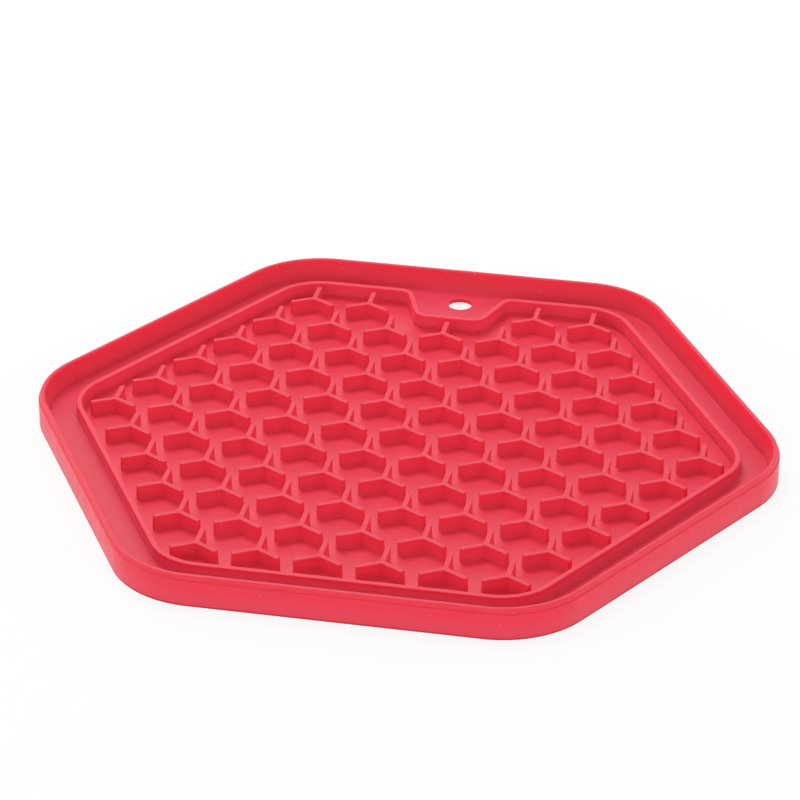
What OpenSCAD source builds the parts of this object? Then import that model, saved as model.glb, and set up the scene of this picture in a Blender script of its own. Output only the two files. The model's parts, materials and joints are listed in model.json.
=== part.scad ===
// Lick mat for soft pet food: a shallow six-sided tray with a field of three-armed ribs,
// moulded in one piece of soft silicone and drawn here feature by feature.
// The origin is the middle of the outline on the surface that the mat rests on.
// +Z is up, and the hanging tab is towards +Y.

/* [Outline] */
// Width of the mat across two opposite flat sides
mat_across = 226.2; // [224:0.2:260]
// Radius of the six outer corners
corner_r = 32.4; // [28:0.2:44]

/* [Rim] */
// Height of the rim above the surface that the mat rests on
rim_h = 10.9; // [10:0.1:15]
// Thickness of the rim's wall where the channel floor meets it
rim_root_t = 3.9; // [3:0.1:5]
// Height of the set-back lip that runs round the top of the rim
lip_h = 1.8; // [1.2:0.1:2.6]
// Width of the small step outside the lip
lip_step = 0.6; // [0.3:0.1:1]
// Thickness of the lip
lip_t = 1.5; // [1.2:0.1:1.8]
// Radius that rounds each edge along the top of the lip
lip_edge_r = 0.5; // [0.2:0.05:0.55]

/* [Spill channel] */
// Width of the channel floor between the ridge and the rim
channel_w = 8.55; // [6.5:0.05:9.5]
// Height of the channel floor's upper face above the resting surface
channel_top = 3; // [2.6:0.1:4]
// Thickness of the channel floor
channel_t = 1.5; // [1:0.1:2.2]

/* [Inner ridge] */
// Height of the ridge above the surface that the mat rests on
ridge_h = 7.5; // [6:0.1:9.5]
// Thickness of the ridge along its top
ridge_t = 1.9; // [1.5:0.1:2.2]
// Thickness of the ridge at its foot
ridge_root_t = 2.3; // [2.2:0.1:3]
// Radius that rounds each edge along the top of the ridge
ridge_edge_r = 0.4; // [0.2:0.05:0.6]

/* [Licking floor] */
// Thickness of the floor that carries the ribs
floor_t = 2; // [1.4:0.1:2.6]

/* [Ribs] */
// Distance from the front foot of the ridge to the middles of the first row of ribs
front_margin = 12.45; // [11.5:0.05:14]
// Distance from the middles of the last row of ribs to the back foot of the ridge
back_margin = 11.05; // [10.6:0.05:13]
// Height of the ribs above the licking floor
rib_h = 5.1; // [4:0.1:6]
// Thickness of a rib's arms along their tops
rib_t = 1.75; // [1.3:0.05:2.1]
// Angle by which every side of a rib leans in from its foot to its top
rib_draft = 2; // [0:0.5:4]
// Gap between the end of an arm that points away from the tab and the comb's corner ahead of it
side_arm_gap = 2.85; // [2.2:0.05:5]
// Gap between the end of the arm that points towards the tab and the comb's corner ahead of it
back_arm_gap = 2.8; // [2.2:0.05:5]
// Least gap between a rib and the foot of the ridge
rib_edge_gap = 1; // [0.5:0.1:2]

/* [Hanging tab] */
// Width of the tab where the ridge turns in to go round it
tab_mouth_w = 35.2; // [32:0.2:44]
// Width of the tab along its inner edge
tab_inner_w = 22.3; // [17:0.1:26]
// How far the ridge is set in to go round the tab
tab_depth = 17.9; // [15:0.1:19.5]
// Radius of the ridge's middle line where it turns round the tab
tab_bend_r = 4.6; // [2:0.1:6]
// Diameter of the hanging hole
hole_d = 8.6; // [6:0.1:12]
// Distance from the middle of the hole to the outer face of the rim
hole_setback = 12.3; // [11:0.1:14]
// Distance of the hole from the tab's middle line, towards +X
hole_shift = 0.6; // [0:0.1:2]

/* [Hidden] */

// The outline has six sides, and so have the comb cells that the rows of ribs mark out
sides = 6;
turn = 360 / sides;
row_count = 11;

// Steps that each round stretch is drawn in
corner_steps = 12;
bend_steps = 8;
edge_steps = 4;
hole_steps = 96;

silicone_red = [0.90, 0.22, 0.31];
silicone_rim_red = [0.84, 0.19, 0.27];
silicone_rib_red = [0.95, 0.30, 0.38];

// Every line of the mat runs at a set distance outside one core hexagon,
// so each rounded corner has its middle at a corner of that hexagon
core_apothem = mat_across / 2 - corner_r;
core_side = 2 * core_apothem * tan(turn / 2);
rim_inner = corner_r - rim_root_t;
channel_inner = rim_inner - channel_w;
ridge_line = channel_inner - ridge_root_t / 2;
floor_edge = channel_inner - ridge_root_t;
lip_outer = corner_r - lip_step;
lip_inner = lip_outer - lip_t;

// The rows are spread evenly between the front and the back margin, and their pitch sets the comb,
// whose corners the arms point at
first_row_y = front_margin - core_apothem - floor_edge;
row_pitch = (2 * (core_apothem + floor_edge) - front_margin - back_margin) / (row_count - 1);
rib_pitch = row_pitch / cos(turn / 2);
cell_side = rib_pitch / (2 * cos(turn / 2));
side_arm = cell_side - side_arm_gap;
back_arm = cell_side - back_arm_gap;
ribs_each_way = ceil((core_side + floor_edge) / rib_pitch);

// Places round the tab, measured on the ridge's middle line
tab_turn = atan2(tab_depth, (tab_mouth_w - tab_inner_w) / 2);
bend_reach = tab_bend_r * tan(tab_turn / 2);
ridge_y = core_apothem + ridge_line;
tab_y = ridge_y - tab_depth;
mouth_bend = [tab_mouth_w / 2 + bend_reach, ridge_y - tab_bend_r];
inner_bend = [tab_inner_w / 2 - bend_reach, tab_y + tab_bend_r];
hole_y = mat_across / 2 - hole_setback;

// Unit vector at an angle
function toward(angle) = [cos(angle), sin(angle)];

// Evenly spread angles from one to another
function angles(from, to, steps) = [for (i = [0:steps]) from + (to - from) * i / steps];

// Points of an arc about a middle
function arc(middle, r, from, to) = [for (a = angles(from, to, edge_steps)) middle + r * toward(a)];

// A station is a place on a wall's line and the angle of the outward side there.
// These are the stations round one corner of a line that lies a distance outside the core hexagon.
function corner_stations(k, line) = [
    for (a = angles(turn * (k - 1 / 2), turn * (k + 1 / 2), corner_steps))
        [core_side * toward(turn * k) + line * toward(a), a]
];

// Stations where the ridge goes round the tab, first on one side and then mirrored on the other
half_tab_stations = [
    for (a = angles(90, 90 + tab_turn, bend_steps)) [mouth_bend + tab_bend_r * toward(a), a],
    for (a = angles(90 + tab_turn, 90, bend_steps)) [inner_bend - tab_bend_r * toward(a), a]
];
tab_stations = [
    each half_tab_stations,
    for (i = [len(half_tab_stations) - 1:-1:0])
        let (s = half_tab_stations[i]) [[-s[0][0], s[0][1]], 180 - s[1]]
];

// Stations right round the plain outline, and round the ridge with its turn about the tab
core_stations = [for (k = [0:sides - 1]) each corner_stations(k, 0)];
ridge_stations = [
    for (k = [0, 1]) each corner_stations(k, ridge_line),
    each tab_stations,
    for (k = [2:sides - 1]) each corner_stations(k, ridge_line)
];

// Points of a line that runs a distance outside its stations
function line_outside(stations, away) = [for (s = stations) s[0] + away * toward(s[1])];

// Distance of a place from the core hexagon, measured square to its nearest side
function outside_core(place) =
    max([for (k = [0:sides - 1]) place * toward(turn * (k + 1 / 2))]) - core_apothem;

// Distance of a place from the ridge's middle line round the tab, on the licking floor's side
function outside_tab(place) =
    max(
        tab_y - place[1],
        [abs(place[0]) - tab_inner_w / 2, place[1] - tab_y] * toward(tab_turn - 90)
    );

// Closed wall: a section, drawn as distance outwards and height, carried round its stations
module wall(stations, section) {
    around = len(stations);
    points = [
        for (s = stations, p = section)
            [each s[0] + p[0] * toward(s[1]), p[1]]
    ];
    function at(i, j) = (i % around) * len(section) + j % len(section);
    faces = [
        for (i = [0:around - 1], j = [0:len(section) - 1])
            each [
                [at(i, j), at(i, j + 1), at(i + 1, j + 1)],
                [at(i, j), at(i + 1, j + 1), at(i + 1, j)]
            ]
    ];
    polyhedron(points, faces);
}

// Floor of the licking area, its edge against the foot of the ridge
module licking_floor() {
    color(silicone_red)
        linear_extrude(floor_t)
            polygon(line_outside(ridge_stations, -ridge_root_t / 2));
}

// Thin floor that joins the ridge to the rim and catches what is pushed over the ridge
module spill_channel() {
    color(silicone_red)
        translate([0, 0, channel_top - channel_t])
            linear_extrude(channel_t)
                difference() {
                    polygon(line_outside(core_stations, rim_inner));
                    polygon(line_outside(core_stations, channel_inner));
                    translate([-mouth_bend[0], core_apothem]) square([2 * mouth_bend[0], corner_r]);
                }
}

// Wider patch of that thin floor inside the bent ridge, with the hole to hang the mat by
module hanging_tab() {
    back_y = core_apothem + rim_inner;
    color(silicone_red)
        translate([0, 0, channel_top - channel_t])
            difference() {
                linear_extrude(channel_t)
                    polygon([
                        each line_outside(tab_stations, ridge_root_t / 2),
                        [-mouth_bend[0], back_y],
                        [mouth_bend[0], back_y]
                    ]);
                translate([hole_shift, hole_y, -channel_t])
                    cylinder(d = hole_d, h = 3 * channel_t, $fn = hole_steps);
            }
}

// Low wall round the licking area, upright at its foot and drawn in to a rounded top
module inner_ridge() {
    edge_y = ridge_h - ridge_edge_r;
    edge_x = ridge_t / 2 - ridge_edge_r;
    color(silicone_rib_red)
        wall(ridge_stations, [
            [-ridge_root_t / 2, 0],
            [ridge_root_t / 2, 0],
            [ridge_root_t / 2, channel_top],
            each arc([edge_x, edge_y], ridge_edge_r, 0, 90),
            each arc([-edge_x, edge_y], ridge_edge_r, 90, 180),
            [-ridge_root_t / 2, channel_top]
        ]);
}

// Outer wall that the mat stands on, with a small step outside a rounded lip
module outer_rim() {
    edge_y = rim_h - lip_edge_r;
    color(silicone_rim_red)
        wall(core_stations, [
            [rim_inner, 0],
            [corner_r, 0],
            [corner_r, rim_h - lip_h],
            [lip_outer, rim_h - lip_h],
            each arc([lip_outer - lip_edge_r, edge_y], lip_edge_r, 0, 90),
            each arc([lip_inner + lip_edge_r, edge_y], lip_edge_r, 90, 180),
            [rim_inner, channel_top]
        ]);
}

// One arm of a rib, from the rib's middle outwards, its sides and its end leaning in to the top
module rib_arm(reach) {
    lean = rib_h * tan(rib_draft);
    foot_half = rib_t / 2 + lean;
    foot_reach = reach + lean;
    intersection() {
        rotate([90, 0, 90])
            linear_extrude(foot_reach)
                polygon([[-foot_half, 0], [foot_half, 0], [rib_t / 2, rib_h], [-rib_t / 2, rib_h]]);
        translate([0, foot_half, 0])
            rotate([90, 0, 0])
                linear_extrude(2 * foot_half)
                    polygon([[0, 0], [foot_reach, 0], [reach, rib_h], [0, rib_h]]);
    }
}

// Three-armed rib that stands on the licking floor
module rib() {
    rotate(90) rib_arm(back_arm);
    rotate(-turn / 2) rib_arm(side_arm);
    rotate(180 + turn / 2) rib_arm(side_arm);
}

// A rib is there only where the tips of all its arms stay clear of the ridge's foot
function rib_fits(place) =
    let (
        tips = [
            place + back_arm * toward(90),
            place + side_arm * toward(-turn / 2),
            place + side_arm * toward(180 + turn / 2)
        ],
        from_core = max([for (tip = tips) outside_core(tip)]),
        from_tab = min([for (tip = tips) outside_tab(tip)])
    )
    from_core <= floor_edge - rib_edge_gap && from_tab >= ridge_root_t / 2 + rib_edge_gap;

// One row of ribs, counted from the front of the mat
module rib_row(row) {
    odd_shift = row % 2 == 0 ? 0 : rib_pitch / 2;
    color(silicone_rib_red)
        for (i = [-ribs_each_way:ribs_each_way]) {
            place = [i * rib_pitch + odd_shift, first_row_y + (row - 1) * row_pitch];
            if (rib_fits(place)) translate([place[0], place[1], floor_t]) rib();
        }
}

licking_floor();
spill_channel();
hanging_tab();
inner_ridge();
outer_rim();
rib_row(1);  // rib_row_01
rib_row(2);  // rib_row_02
rib_row(3);  // rib_row_03
rib_row(4);  // rib_row_04
rib_row(5);  // rib_row_05
rib_row(6);  // rib_row_06
rib_row(7);  // rib_row_07
rib_row(8);  // rib_row_08
rib_row(9);  // rib_row_09
rib_row(10);  // rib_row_10
rib_row(11);  // rib_row_11
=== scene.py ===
# Hexagonal lick mat: its looks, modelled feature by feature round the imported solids.
# Metres, +Z up, the mat rests on z = 0 and its hanging tab is towards +Y.
import json
from math import atan2, cos, pi, radians, sin, tan

import bmesh
import bpy
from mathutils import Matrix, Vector


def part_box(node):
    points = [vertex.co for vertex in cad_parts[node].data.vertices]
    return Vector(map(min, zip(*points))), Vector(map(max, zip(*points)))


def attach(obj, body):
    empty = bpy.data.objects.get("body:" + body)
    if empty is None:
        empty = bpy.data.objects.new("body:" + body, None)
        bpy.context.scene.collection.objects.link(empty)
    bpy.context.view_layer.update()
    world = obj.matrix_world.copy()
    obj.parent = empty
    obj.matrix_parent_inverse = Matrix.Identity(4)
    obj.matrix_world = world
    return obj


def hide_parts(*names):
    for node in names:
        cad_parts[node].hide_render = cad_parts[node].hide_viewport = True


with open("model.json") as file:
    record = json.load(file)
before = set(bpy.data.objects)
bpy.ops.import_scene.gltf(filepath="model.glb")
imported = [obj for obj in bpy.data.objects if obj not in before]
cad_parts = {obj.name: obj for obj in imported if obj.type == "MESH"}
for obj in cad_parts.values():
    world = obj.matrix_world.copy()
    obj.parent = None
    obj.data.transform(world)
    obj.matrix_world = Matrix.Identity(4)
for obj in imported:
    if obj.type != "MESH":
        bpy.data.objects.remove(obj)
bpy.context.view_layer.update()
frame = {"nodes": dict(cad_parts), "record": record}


# Camera.
# It stands in front of the mat and a little to its right, and looks down on it through a long
# lens. Its place and turn were worked out from the regular lattice of the ribs.
MM = 0.001
camera_data = bpy.data.cameras.new("camera")
camera_data.sensor_width = 36
camera_data.lens = 157.94
camera = bpy.data.objects.new("camera", camera_data)
camera.location = (195.63 * MM, -1007.28 * MM, 579.31 * MM)
camera.rotation_euler = (radians(61.303), radians(-0.296), radians(11.236))
bpy.context.scene.collection.objects.link(camera)
bpy.context.scene.camera = camera
bpy.context.scene.view_settings.view_transform = "Standard"


# Outer rim.
# The wall that closes the mat and that it stands on, pressed with the rest of it from one lump of
# red silicone. Its thin lip is set back by a small step, where the two halves of the mould meet,
# and all its edges are rounded. A thin dark band painted at its foot is a painted contact shadow,
# and its low parts, its inner wall and its top edges carry painted shade.
same_place = MM / 200


def toward(angle):
    """Unit vector in the plane of the mat."""
    return Vector((cos(angle), sin(angle), 0))


def only(piece):
    """Make a piece the only selected object."""
    bpy.ops.object.select_all(action="DESELECT")
    piece.select_set(True)
    bpy.context.view_layer.objects.active = piece


def start_piece(name):
    """Name the object just made, put its place into its mesh and go on in edit mode."""
    piece = bpy.context.object
    piece.name = piece.data.name = name
    only(piece)
    bpy.ops.object.transform_apply(location=True, rotation=True, scale=True)
    bpy.ops.object.mode_set(mode="EDIT")
    return piece


def pick(kind, test):
    """In edit mode, select the vertices, edges or faces that pass a test."""
    bpy.ops.mesh.select_mode(type=kind)
    bpy.ops.mesh.select_all(action="DESELECT")
    mesh = bmesh.from_edit_mesh(bpy.context.object.data)
    for item in {"VERT": mesh.verts, "EDGE": mesh.edges, "FACE": mesh.faces}[kind]:
        item.select_set(bool(test(item)))
    mesh.select_flush_mode()
    bmesh.update_edit_mesh(bpy.context.object.data)


def put_vertices(piece, places):
    """In edit mode, put the vertices of a piece at these places, one after another."""
    mesh = bmesh.from_edit_mesh(piece.data)
    for vertex, place in zip(mesh.verts, places):
        vertex.co = place
    bmesh.update_edit_mesh(piece.data)


def draw_section(name, middle, outward, corners):
    """Draw an upright section, left selected. A corner is (distance outwards, height, radius)."""
    round_segments = 4
    bpy.ops.object.select_all(action="DESELECT")
    bpy.ops.mesh.primitive_circle_add(vertices=len(corners), radius=MM, fill_type="NGON")
    piece = start_piece(name)
    places = [middle + away * toward(outward) + Vector((0, 0, z)) for away, z, _ in corners]
    put_vertices(piece, places)
    for i, (_, _, radius) in enumerate(corners):
        if radius:
            before = (places[i] - places[i - 1]).normalized()
            after = (places[(i + 1) % len(places)] - places[i]).normalized()
            reach = radius * tan(before.angle(after) / 2)
            pick("VERT", lambda v: (v.co - places[i]).length < same_place)
            bpy.ops.mesh.bevel(offset=reach, segments=round_segments, affect="VERTICES")
    bpy.ops.mesh.select_all(action="SELECT")
    bpy.ops.mesh.delete(type="ONLY_FACE")
    bpy.ops.mesh.select_all(action="SELECT")
    return piece


def carry_round(legs):
    """Carry what is selected along legs. A leg is a straight run, or a turn about a middle."""
    for leg in legs:
        if "run" in leg:
            bpy.ops.mesh.extrude_region_move(TRANSFORM_OT_translate={"value": leg["run"]})
        else:
            bpy.ops.mesh.spin(
                steps=leg["steps"], angle=leg["turn"], center=leg["about"], axis=(0, 0, -1)
            )


def join_ends():
    """Join the end of a wall to its start, and close any loop that is left open."""
    bpy.ops.mesh.select_all(action="SELECT")
    bpy.ops.mesh.remove_doubles(threshold=same_place)
    bpy.ops.mesh.fill_holes(sides=0)


def finish_piece(piece, material, replaced):
    """Smooth a piece, give it its material and let it ride in place of its CAD node."""
    sharp_from = radians(35)
    bpy.ops.mesh.select_all(action="SELECT")
    bpy.ops.mesh.normals_make_consistent(inside=False)
    bpy.ops.object.mode_set(mode="OBJECT")
    only(piece)
    bpy.ops.object.shade_smooth_by_angle(angle=sharp_from)
    flats_stay_flat = piece.modifiers.new("flats_stay_flat", "WEIGHTED_NORMAL")
    flats_stay_flat.keep_sharp = True
    bpy.ops.object.modifier_apply(modifier=flats_stay_flat.name)
    piece.data.materials.append(material)
    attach(piece, "root")
    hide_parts(replaced)


def finish_faces(piece, material, test):
    """Give the faces of a finished piece that pass a test a material of their own."""
    piece.data.materials.append(material)
    for face in piece.data.polygons:
        if test(face):
            face.material_index = 1


def set_ramp(node, stops):
    """Fill a colour ramp from pairs of a place and a colour. The outer two reach its ends."""
    ramp = node.color_ramp
    ramp.elements[0].color = (*stops[0][1], 1)
    ramp.elements[1].color = (*stops[-1][1], 1)
    for place, colour in stops:
        ramp.elements.new(place).color = (*colour, 1)


tones_reach = 11 * MM
# The silicone's own red, where no shade is painted.
unshaded_red = (0.765, 0.027, 0.056)
# Painted shade: a deeper red for the top edges, against the light they catch.
top_shade_red = (0.72, 0.03, 0.062)
# Painted shade: a duller, greyer red for the low parts and the channel, where shade falls.
dull_shade_red = (0.745, 0.046, 0.084)
# Painted shadow: a dark red for a thin band at the foot of the rim, a painted contact shadow.
contact_shadow_red = (0.42, 0.02, 0.04)
lint_pink = (0.83, 0.28, 0.32)


def make_silicone(name, tones, gloss=0.33):
    """Matte moulded red silicone, faintly mottled, with specks of lint.

    The tones are pairs of a height and a red, from the lowest up, and carry painted light and
    shade:
    the top edges are painted a little deeper in colour against the light they catch, and what is
    low down is painted duller and darker, where shade falls.
    """
    material = bpy.data.materials.new(name)
    material.use_nodes = True
    nodes, links = material.node_tree.nodes, material.node_tree.links
    shader = nodes["Principled BSDF"]
    shader.inputs["IOR"].default_value = 1.5
    shader.inputs["Specular IOR Level"].default_value = gloss
    place = nodes.new("ShaderNodeTexCoord").outputs["Object"]

    def noise(scale, detail, roughness=0.5):
        """Noise with so many grains to the metre."""
        node = nodes.new("ShaderNodeTexNoise")
        node.inputs["Scale"].default_value = scale
        node.inputs["Detail"].default_value = detail
        node.inputs["Roughness"].default_value = roughness
        links.new(place, node.inputs["Vector"])
        return node.outputs["Fac"]

    def spread(value, low, high):
        """Spread a noise, which seldom leaves its middle values, over a range."""
        seldom_under, seldom_over = 0.3, 0.7
        node = nodes.new("ShaderNodeMapRange")
        node.inputs["From Min"].default_value = seldom_under
        node.inputs["From Max"].default_value = seldom_over
        node.inputs["To Min"].default_value = low
        node.inputs["To Max"].default_value = high
        links.new(value, node.inputs["Value"])
        return node.outputs["Result"]

    def bump(height, strength, distance):
        """Bump of a surface. The distance is that between its hollows and its crests."""
        node = nodes.new("ShaderNodeBump")
        node.inputs["Strength"].default_value = strength
        node.inputs["Distance"].default_value = distance
        links.new(height, node.inputs["Height"])
        return node

    z = nodes.new("ShaderNodeSeparateXYZ")
    links.new(place, z.inputs["Vector"])
    height = nodes.new("ShaderNodeMapRange")
    height.inputs["From Max"].default_value = tones_reach
    links.new(z.outputs["Z"], height.inputs["Value"])
    red_at_height = nodes.new("ShaderNodeValToRGB")
    set_ramp(red_at_height, [(level / tones_reach, tone) for level, tone in tones])
    links.new(height.outputs["Result"], red_at_height.inputs["Fac"])
    mottled = nodes.new("ShaderNodeVectorMath")
    mottled.operation = "SCALE"
    mottle = spread(noise(scale=120, detail=7, roughness=0.7), low=0.97, high=1.03)
    links.new(red_at_height.outputs["Color"], mottled.inputs[0])
    links.new(mottle, mottled.inputs["Scale"])

    # A speck fills the middle of each cell and fades out between these shares of its width.
    speck_core, speck_edge = 0.035, 0.07
    cells_to_the_metre = 320
    lint_cells = nodes.new("ShaderNodeTexVoronoi")
    lint_cells.inputs["Scale"].default_value = cells_to_the_metre
    links.new(place, lint_cells.inputs["Vector"])
    lint = nodes.new("ShaderNodeMapRange")
    lint.inputs["From Min"].default_value = speck_edge
    lint.inputs["From Max"].default_value = speck_core
    links.new(lint_cells.outputs["Distance"], lint.inputs["Value"])
    colour = nodes.new("ShaderNodeMix")
    colour.data_type = "RGBA"
    colour_first, colour_second = colour.inputs[6], colour.inputs[7]
    links.new(lint.outputs["Result"], colour.inputs["Factor"])
    links.new(mottled.outputs["Vector"], colour_first)
    colour_second.default_value = (*lint_pink, 1)
    links.new(colour.outputs[2], shader.inputs["Base Color"])

    sheen = spread(noise(scale=260, detail=2), low=0.34, high=0.44)
    links.new(sheen, shader.inputs["Roughness"])
    grain = bump(noise(scale=2400, detail=2), strength=0.25, distance=0.03 * MM)
    waves = bump(noise(scale=110, detail=1), strength=0.4, distance=0.1 * MM)
    links.new(grain.outputs["Normal"], waves.inputs["Normal"])
    links.new(waves.outputs["Normal"], shader.inputs["Normal"])
    return material


sixth = pi / 3
corner_steps = 24
rim_half_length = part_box("outer_rim")[1].x
rim_half_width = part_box("outer_rim")[1].y
rim_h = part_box("outer_rim")[1].z
corner_r = (rim_half_width / cos(sixth / 2) - rim_half_length) / (1 / cos(sixth / 2) - 1)
core_apothem = rim_half_width - corner_r
core_side = core_apothem / cos(sixth / 2)
channel_under, channel_top = (corner.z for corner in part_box("spill_channel"))
rim_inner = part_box("spill_channel")[1].y - core_apothem
foot_fillet = 0.25 * MM
fillet_landing = 0.3 * MM
under_edge_r = 0.3 * MM


def corner_leg(k):
    """Turn round corner k of the mat."""
    return {"about": core_side * toward(k * sixth), "turn": sixth, "steps": corner_steps}


def side_leg(k):
    """Run along the side from corner k to the next."""
    return {"run": core_side * (toward((k + 1) * sixth) - toward(k * sixth))}


lip_h = 1.8 * MM
lip_step = 0.6 * MM
lip_t = 1.5 * MM
lip_edge_r = 0.5 * MM
step_edge_r = 0.15 * MM
step_fillet = 0.44 * MM
foot_edge_r = 0.25 * MM
step_top = rim_h - lip_h
lip_outer = corner_r - lip_step
rim_landing = rim_inner - foot_fillet - fillet_landing
rim = draw_section(
    "rim_wall",
    core_side * toward(0),
    -sixth / 2,
    [
        (corner_r, 0, foot_edge_r),
        (corner_r, step_top, step_edge_r),
        (lip_outer, step_top, step_fillet),
        (lip_outer, rim_h, lip_edge_r),
        (lip_outer - lip_t, rim_h, lip_edge_r),
        (rim_inner, channel_top, foot_fillet),
        (rim_landing, channel_top, 0),
        (rim_landing, channel_under, 0),
        (rim_inner, channel_under, under_edge_r),
        (rim_inner, 0, under_edge_r),
    ],
)
carry_round([leg(k) for k in range(6) for leg in (corner_leg, side_leg)])
join_ends()
top_shade_from = 0.4 * MM
full_top_shade = 0.1 * MM
contact_shadow_top = 0.4 * MM
contact_shadow_end = 0.9 * MM
shade_stop_h = 7 * MM
# The top edges are painted a little deeper red, painted shade against the light they catch.
top_tones = [(rim_h - top_shade_from, unshaded_red), (rim_h - full_top_shade, top_shade_red)]
# Outside, a thin dark band at the foot is a painted contact shadow. The wall is painted duller up
# to the channel's floor and fades back to the plain red higher up, as painted shade.
outside_tones = [
    (contact_shadow_top, contact_shadow_red),
    (contact_shadow_end, dull_shade_red),
    (channel_top, dull_shade_red),
    (shade_stop_h, unshaded_red),
    *top_tones,
]
# Inside, the wall is painted duller at the channel's floor and darker from there to well above the
# middle, lighter again near the top, as painted shade in the channel.
inside_tones = [
    (channel_top, dull_shade_red),
    (3.8 * MM, (0.67, 0.048, 0.083)),
    (shade_stop_h, (0.69, 0.03, 0.055)),
    (9.4 * MM, (0.76, 0.022, 0.05)),
    *top_tones,
]
finish_piece(rim, make_silicone("rim_silicone", outside_tones), "outer_rim")
rim_inside = make_silicone("rim_inside_silicone", inside_tones, gloss=0.22)
finish_faces(rim, rim_inside, lambda face: face.normal.dot(face.center) < 0)


# Inner ridge.
# The low wall round the licking area, of the same silicone and pressed with it. Its top is rounded
# so that it is soft on the tongue, and it turns in and out again to go round the hanging tab. Its
# side towards the channel is painted a paler, greyer red, painted shade for the dull look of the
# shaded channel; low down on both sides it is painted duller, and its very top a little deeper
# red, both as painted shade.
bend_steps = 10


def turn_leg(middle, turn):
    """Turn of the ridge round the tab."""
    return {"about": middle, "turn": turn, "steps": bend_steps}


floor_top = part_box("licking_floor")[1].z
ridge_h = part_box("inner_ridge")[1].z
ridge_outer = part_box("inner_ridge")[1].y - core_apothem
ridge_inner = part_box("licking_floor")[1].y - core_apothem
ridge_middle = (ridge_outer + ridge_inner) / 2
ridge_half_t = 0.95 * MM
ridge_edge_r = 0.4 * MM
ridge_landing = ridge_outer + foot_fillet + fillet_landing
floor_landing = ridge_inner - foot_fillet - fillet_landing

tab_mouth_w = 35.2 * MM
tab_inner_w = 22.3 * MM
tab_bend_r = 4.6 * MM
ridge_y = core_apothem + ridge_middle
tab_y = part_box("hanging_tab")[0].y - (ridge_outer - ridge_inner) / 2
tab_turn = atan2(ridge_y - tab_y, (tab_mouth_w - tab_inner_w) / 2)
bend_reach = tab_bend_r * tan(tab_turn / 2)
mouth_bend = Vector((tab_mouth_w / 2 + bend_reach, ridge_y - tab_bend_r, 0))
inner_bend = Vector((tab_inner_w / 2 - bend_reach, tab_y + tab_bend_r, 0))
turn_in = inner_bend - mouth_bend - 2 * tab_bend_r * toward(pi / 2 + tab_turn)
flip = Vector((-1, 1, 1))
tab_legs = [
    turn_leg(mouth_bend, tab_turn),
    {"run": turn_in},
    turn_leg(inner_bend, -tab_turn),
    {"run": Vector((-2 * inner_bend.x, 0, 0))},
    turn_leg(inner_bend * flip, -tab_turn),
    {"run": -turn_in * flip},
    turn_leg(mouth_bend * flip, tab_turn),
]
back_leg = {"run": Vector((mouth_bend.x - core_side / 2, 0, 0))}
ridge_legs = [
    corner_leg(0), side_leg(0), corner_leg(1),
    back_leg, *tab_legs, back_leg,
    *[leg(k) for k in range(2, 6) for leg in (corner_leg, side_leg)],
]
ridge = draw_section(
    "ridge_wall",
    core_side * toward(0),
    -sixth / 2,
    [
        (ridge_landing, channel_under, 0),
        (ridge_landing, channel_top, 0),
        (ridge_outer, channel_top, foot_fillet),
        (ridge_middle + ridge_half_t, ridge_h, ridge_edge_r),
        (ridge_middle - ridge_half_t, ridge_h, ridge_edge_r),
        (ridge_inner, floor_top, foot_fillet),
        (floor_landing, floor_top, 0),
        (floor_landing, 0, 0),
        (ridge_outer, 0, under_edge_r),
        (ridge_outer, channel_under, under_edge_r),
    ],
)
carry_round(ridge_legs)
join_ends()
foot_shade_h = 0.3 * MM
floor_red = (0.79, 0.047, 0.086)
# Painted shade: the very top of the ridge is painted a little deeper red against the light it
# catches.
ridge_top_tones = [
    (ridge_h - ridge_edge_r, (0.79, 0.028, 0.065)),
    (ridge_h, (0.745, 0.033, 0.066)),
]
ridge_tones = [
    (floor_top, floor_red),
    (channel_top, dull_shade_red),
    (channel_top + foot_shade_h, (0.725, 0.075, 0.125)),
    *ridge_top_tones,
]
# Painted shade: the channel side is painted a paler, greyer red for the dull look of shade down in
# the channel.
trough_tones = [
    (channel_top, dull_shade_red),
    (channel_top + foot_shade_h, (0.75, 0.14, 0.22)),
    (5.5 * MM, (0.79, 0.1, 0.17)),
    *ridge_top_tones,
]
finish_piece(ridge, make_silicone("ridge_silicone", ridge_tones), "inner_ridge")


def stands_in_channel(face):
    """A face of the channel side: its lowest corner is in the fillet at the channel's floor."""
    lowest = min(ridge.data.vertices[i].co.z for i in face.vertices)
    return abs(lowest - channel_top) < foot_fillet


ridge_trough = make_silicone("ridge_trough_silicone", trough_tones)
finish_faces(ridge, ridge_trough, stands_in_channel)


# Spill channel.
# The thin floor between the ridge and the rim, which catches what the pet pushes over the ridge.
# It is part of the same pressing, and lies a little above the surface that the mat rests on.
channel = draw_section(
    "channel_floor",
    Vector((-mouth_bend.x, core_apothem, 0)),
    pi / 2,
    [
        (ridge_landing, channel_under, 0),
        (ridge_landing, channel_top, 0),
        (rim_landing, channel_top, 0),
        (rim_landing, channel_under, 0),
    ],
)
round_legs = [leg(k) for k in range(2, 8) for leg in (corner_leg, side_leg)]
carry_round([back_leg, *round_legs[:-1], back_leg])
join_ends()
# The channel's floor is painted all in the duller red, as painted shade down in the channel.
channel_silicone = make_silicone("channel_silicone", [(channel_top, dull_shade_red)])
finish_piece(channel, channel_silicone, "spill_channel")


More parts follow.
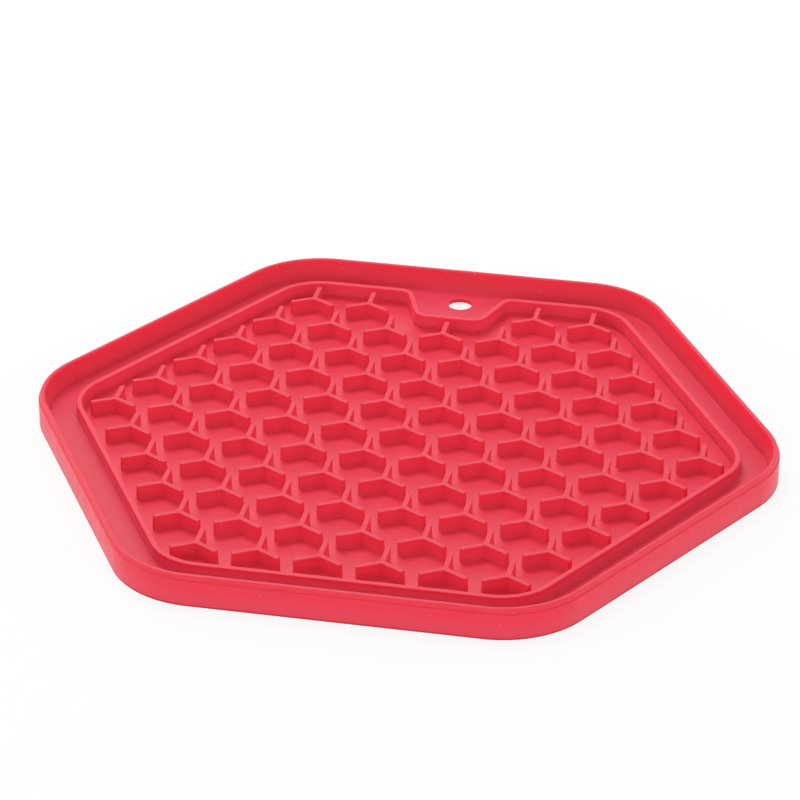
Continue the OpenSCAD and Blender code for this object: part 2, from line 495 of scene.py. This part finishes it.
# Hanging tab.
# The patch of the same thin floor that the ridge goes round, with a punched hole near the rim, so
# that the washed mat can hang from a hook to dry. The edges of the hole are slightly rounded. Its
# cut wall is painted a brighter, purer red, painted light for light that comes through the thin
# silicone, and its top is painted the duller red as painted shade.
def draw_upright_edge(name, place, low, high):
    """Draw one upright edge, left selected, to carry round the outline of a floor."""
    bpy.ops.object.select_all(action="DESELECT")
    bpy.ops.mesh.primitive_plane_add(size=MM)
    piece = start_piece(name)
    pick("VERT", lambda v: v.co.y > 0)
    bpy.ops.mesh.delete(type="VERT")
    put_vertices(piece, [place + Vector((0, 0, z)) for z in (low, high)])
    bpy.ops.mesh.select_all(action="SELECT")
    return piece


hanging_hole = next(m for m in frame["record"]["mounts"] if m["name"] == "hanging_hole")
hole_middle = Vector(hanging_hole["pos_m"])
hole_r = hanging_hole["dims"]["r_mm"] * MM
hole_sides = 96
hole_edge_r = 0.12 * MM
hole_edge_segments = 3
tab_corner = Vector((mouth_bend.x, core_apothem + ridge_landing, 0))
to_rim = Vector((0, rim_landing - ridge_landing, 0))
along_rim = Vector((2 * mouth_bend.x, 0, 0))
tab = draw_upright_edge("tab_floor", tab_corner, channel_under, channel_top)
carry_round([*tab_legs, {"run": to_rim}, {"run": along_rim}, {"run": -to_rim}])
join_ends()
bpy.ops.object.mode_set(mode="OBJECT")
bpy.ops.mesh.primitive_cylinder_add(
    vertices=hole_sides, radius=hole_r, depth=channel_top, location=hole_middle
)
punch = bpy.context.object
only(tab)
punched = tab.modifiers.new("punched", "BOOLEAN")
punched.object = punch
bpy.ops.object.modifier_apply(modifier=punched.name)
bpy.data.objects.remove(punch)
bpy.ops.object.mode_set(mode="EDIT")


def runs_round_hole(edge):
    """An edge along the hole's upper or lower rim."""
    ends = [(v.co - hole_middle).xy.length for v in edge.verts]
    level = abs(edge.verts[0].co.z - edge.verts[1].co.z) < same_place
    return level and max(abs(end - hole_r) for end in ends) < same_place


pick("EDGE", runs_round_hole)
bpy.ops.mesh.bevel(offset=hole_edge_r, segments=hole_edge_segments, affect="EDGES")
# Painted light: below the tab's top the cut wall of the hole is painted a brighter, purer red for
# light coming through the thin silicone; the top is painted the duller red as painted shade.
cut_glow_red = (0.88, 0.012, 0.035)
cut_glow_end = channel_top - 0.15 * MM
dull_shade_start = channel_top - 0.05 * MM
tab_tones = [(cut_glow_end, cut_glow_red), (dull_shade_start, dull_shade_red)]
finish_piece(tab, make_silicone("tab_silicone", tab_tones), "hanging_tab")


# Licking floor.
# The flat floor inside the ridge, pressed with the ribs that it carries. It is thicker than the
# channel's floor, and rests on what the mat lies on, so that it stays flat under the tongue.
floor_corner = core_side * toward(0) + floor_landing * toward(-sixth / 2)
floor = draw_upright_edge("licking_area", floor_corner, 0, floor_top)
carry_round(ridge_legs)
join_ends()
floor_silicone = make_silicone("floor_silicone", [(floor_top, floor_red)])
finish_piece(floor, floor_silicone, "licking_floor")


# Ribs.
# Eleven rows of small three-armed ribs that slow the licking down, pressed with the floor under
# them. Their sides lean in so that the mould lets go, and their edges and feet are rounded.
rib_t = 1.75 * MM
rib_draft = radians(2)
side_arm = 8.7 * MM
back_arm = 8.75 * MM
rib_fillet = 0.15 * MM
rib_edge_r = 0.25 * MM
rib_tip_r = 0.3 * MM
round_steps = 3
crook_steps = 2
slack = 0.1 * MM
rib_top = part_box("rib_row_01")[1].z
rib_h = rib_top - floor_top
lean = rib_h * tan(rib_draft)
toe = lean + rib_fillet
toe_width = rib_t + 2 * toe
heart_apothem = toe_width / (2 * tan(pi / 3))


def make_rib():
    """One rib, its middle over the origin: a triangle grows three arms and is drawn upwards."""
    bpy.ops.object.select_all(action="DESELECT")
    bpy.ops.mesh.primitive_circle_add(
        vertices=3,
        radius=2 * heart_apothem,
        fill_type="NGON",
        location=(0, 0, floor_top),
        rotation=(0, 0, pi),
    )
    rib = start_piece("rib")
    for angle, reach in ((90, back_arm), (210, side_arm), (330, side_arm)):
        out = toward(radians(angle))
        root = heart_apothem * out + Vector((0, 0, floor_top))
        pick("EDGE", lambda e: ((e.verts[0].co + e.verts[1].co) / 2 - root).length < same_place)
        grow = (reach + toe - heart_apothem) * out
        bpy.ops.mesh.extrude_region_move(TRANSFORM_OT_translate={"value": grow})
    pick("FACE", lambda f: True)
    bpy.ops.mesh.dissolve_faces()
    pick("VERT", lambda v: v.co.xy.length > side_arm)
    bpy.ops.mesh.bevel(offset=rib_tip_r + toe, segments=round_steps, affect="VERTICES")
    pick("VERT", lambda v: v.co.xy.length < 2 * heart_apothem + slack)
    crook_reach = rib_fillet * tan(pi / 6)
    bpy.ops.mesh.bevel(offset=crook_reach, segments=crook_steps, affect="VERTICES")
    pick("FACE", lambda f: True)
    angles = [pi / 2 * i / round_steps for i in range(round_steps + 1)]
    foot = [(rib_fillet * sin(a), rib_fillet * (1 - cos(a))) for a in angles]
    wall_h = rib_h - rib_fillet - rib_edge_r
    wall_top = (foot[-1][0] + lean * wall_h / rib_h, foot[-1][1] + wall_h)
    edge = [
        (wall_top[0] + rib_edge_r * (1 - cos(a)), wall_top[1] + rib_edge_r * sin(a))
        for a in angles
    ]
    profile = [*foot, *edge]
    for before, after in zip(profile, profile[1:]):
        bpy.ops.mesh.inset(thickness=after[0] - before[0], depth=after[1] - before[1])
    bpy.ops.mesh.select_all(action="SELECT")
    bpy.ops.mesh.fill_holes(sides=0)
    bpy.ops.object.mode_set(mode="OBJECT")
    return rib


def rib_middles(row):
    """Middles of a row's ribs, found from the tips of the arms that point towards the tab."""
    widest_tip = 2 * rib_t
    tip_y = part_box(row)[1].y
    tips = sorted(v.co.x for v in frame["nodes"][row].data.vertices if v.co.y > tip_y - slack)
    groups = [[tips[0]]]
    for x in tips[1:]:
        if x - groups[-1][-1] > widest_tip:
            groups.append([])
        groups[-1].append(x)
    return [Vector(((g[0] + g[-1]) / 2, tip_y - back_arm - lean, 0)) for g in groups]


rib = make_rib()
# Painted shade: the ribs' feet are painted duller and their very tops a deeper red, against the
# light they catch.
rib_tones = [
    (floor_top, floor_red),
    (floor_top + foot_shade_h, (0.77, 0.06, 0.104)),
    (rib_top - top_shade_from, unshaded_red),
    (rib_top - full_top_shade, (0.7, 0.028, 0.058)),
]
rib_silicone = make_silicone("rib_silicone", rib_tones)
for row in sorted(name for name in frame["nodes"] if name.startswith("rib_row_")):
    copies = []
    for middle in rib_middles(row):
        only(rib)
        bpy.ops.object.duplicate_move(TRANSFORM_OT_translate={"value": middle})
        copies.append(bpy.context.object)
    bpy.ops.object.select_all(action="DESELECT")
    for copy in copies:
        copy.select_set(True)
    bpy.ops.object.join()
    ribs = start_piece(row.replace("rib_row", "ribs_of_row"))
    finish_piece(ribs, rib_silicone, row)
bpy.data.objects.remove(rib)


# Studio.
# A white floor in a light tent with a bright band low all round, and one soft lamp high behind the
# left of the mat. Floor and tent show white to the camera and in reflections, and the floor keeps
# the shadow.
def seen_directly(nodes, links):
    """Light path: 1 where the camera, a reflection or a clear thing looks at a surface."""
    path = nodes.new("ShaderNodeLightPath")
    total = path.outputs["Is Camera Ray"]
    for kind in ("Is Glossy Ray", "Is Transmission Ray"):
        add = nodes.new("ShaderNodeMath")
        add.operation = "ADD"
        add.use_clamp = True
        links.new(total, add.inputs[0])
        links.new(path.outputs[kind], add.inputs[1])
        total = add.outputs[0]
    return total


tent = bpy.data.worlds.new("light_tent")
tent.use_nodes = True
tent_nodes, tent_links = tent.node_tree.nodes, tent.node_tree.links
tent_nodes["Background"].inputs["Color"].default_value = (1, 1, 1, 1)
tent_place = tent_nodes.new("ShaderNodeTexCoord").outputs["Generated"]
upwards = tent_nodes.new("ShaderNodeSeparateXYZ")
tent_links.new(tent_place, upwards.inputs["Vector"])
# Pairs of the sine of the angle above the horizon and the grey of the tent there.
greys_up_the_tent = [(0, 0.3), (0.27, 1), (0.5, 0.26), (0.6, 0.13), (1, 0.28)]
tent_strength = 2.75
glow = tent_nodes.new("ShaderNodeValToRGB")
set_ramp(glow, [(height, (grey, grey, grey)) for height, grey in greys_up_the_tent])
tent_links.new(upwards.outputs["Z"], glow.inputs["Fac"])
brightness = tent_nodes.new("ShaderNodeMath")
brightness.operation = "MULTIPLY"
brightness.inputs[1].default_value = tent_strength
tent_links.new(glow.outputs["Color"], brightness.inputs[0])
strength = tent_nodes.new("ShaderNodeMapRange")
strength.inputs["To Max"].default_value = 1
tent_links.new(brightness.outputs["Value"], strength.inputs["To Min"])
tent_links.new(seen_directly(tent_nodes, tent_links), strength.inputs["Value"])
tent_links.new(strength.outputs["Result"], tent_nodes["Background"].inputs["Strength"])
bpy.context.scene.world = tent

lamp_data = bpy.data.lights.new("soft_lamp", "AREA")
lamp_data.shape = "DISK"
lamp_data.size = 0.8
lamp_data.energy = 10
lamp = bpy.data.objects.new("soft_lamp", lamp_data)
lamp.location = (-0.45, 0.6, 1.4)
lamp.rotation_euler = (-lamp.location).to_track_quat("-Z", "Y").to_euler()
lamp.visible_camera = False
bpy.context.scene.collection.objects.link(lamp)

bpy.ops.object.select_all(action="DESELECT")
bpy.ops.mesh.primitive_plane_add(size=6)
white_floor = bpy.context.object
white_floor.name = "white_floor"
paper = bpy.data.materials.new("white_paper")
paper.use_nodes = True
paper_nodes, paper_links = paper.node_tree.nodes, paper.node_tree.links
matte = paper_nodes["Principled BSDF"]
matte.inputs["Base Color"].default_value = (0.82, 0.82, 0.82, 1)
matte.inputs["Roughness"].default_value = 0.9
white = paper_nodes.new("ShaderNodeEmission")
white.inputs["Strength"].default_value = 1
white_share = 0.85
share = paper_nodes.new("ShaderNodeMapRange")
share.inputs["To Max"].default_value = white_share
paper_links.new(seen_directly(paper_nodes, paper_links), share.inputs["Value"])
whitened = paper_nodes.new("ShaderNodeMixShader")
paper_links.new(share.outputs["Result"], whitened.inputs[0])
paper_links.new(matte.outputs["BSDF"], whitened.inputs[1])
paper_links.new(white.outputs["Emission"], whitened.inputs[2])
paper_links.new(whitened.outputs["Shader"], paper_nodes["Material Output"].inputs["Surface"])
white_floor.data.materials.append(paper)
